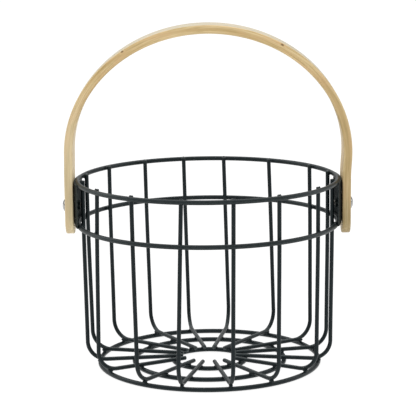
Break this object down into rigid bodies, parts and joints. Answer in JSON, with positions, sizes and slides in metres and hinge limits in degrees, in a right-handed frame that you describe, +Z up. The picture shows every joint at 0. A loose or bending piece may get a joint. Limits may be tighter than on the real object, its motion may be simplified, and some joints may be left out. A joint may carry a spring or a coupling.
{
  "type": "wire produce basket",
  "caption": "Round open basket of dark coated wire with an open spoked floor and a pale bentwood bail handle that swings on two screws.",
  "frame": {"origin": "middle of the base, on the plane the basket stands on", "axes": "+Z up; +X along the handle's pivot axis, from one handle leg to the other; Y across the handle, which stands upright at rest"},
  "size_m": [0.276, 0.2504, 0.3251],
  "materials": {
    "wire_coat": "dark satin powder coat",
    "bentwood": "pale bentwood, thin matt varnish",
    "bright_steel": "bright plated steel"
  },
  "bodies": {
    "basket": {"rim_ring": "wire_coat", "band_ring": "wire_coat", "base_ring_outer": "wire_coat", "base_ring_mid": "wire_coat", "base_ring_inner": "wire_coat", "rib_01": "wire_coat", "rib_02": "wire_coat", "rib_03": "wire_coat", "rib_04": "wire_coat", "rib_05": "wire_coat", "rib_06": "wire_coat", "rib_07": "wire_coat", "rib_08": "wire_coat", "rib_09": "wire_coat", "rib_10": "wire_coat", "rib_11": "wire_coat", "rib_12": "wire_coat", "rib_13": "wire_coat", "rib_14": "wire_coat", "rib_15": "wire_coat", "rib_16": "wire_coat", "handle_plate_left": "wire_coat", "handle_plate_right": "wire_coat", "pivot_screw_left": "bright_steel", "pivot_screw_right": "bright_steel", "pivot_nut_left": "wire_coat", "pivot_nut_right": "wire_coat"},
    "handle": {"bail_handle": "bentwood"}
  },
  "joints": [
    {"name": "handle_swing", "type": "hinge", "parent": "basket", "child": "handle", "pos_m": [0, 0, 0.1545], "axis": [1, 0, 0], "range_deg": [-124, 124]}
  ]
}
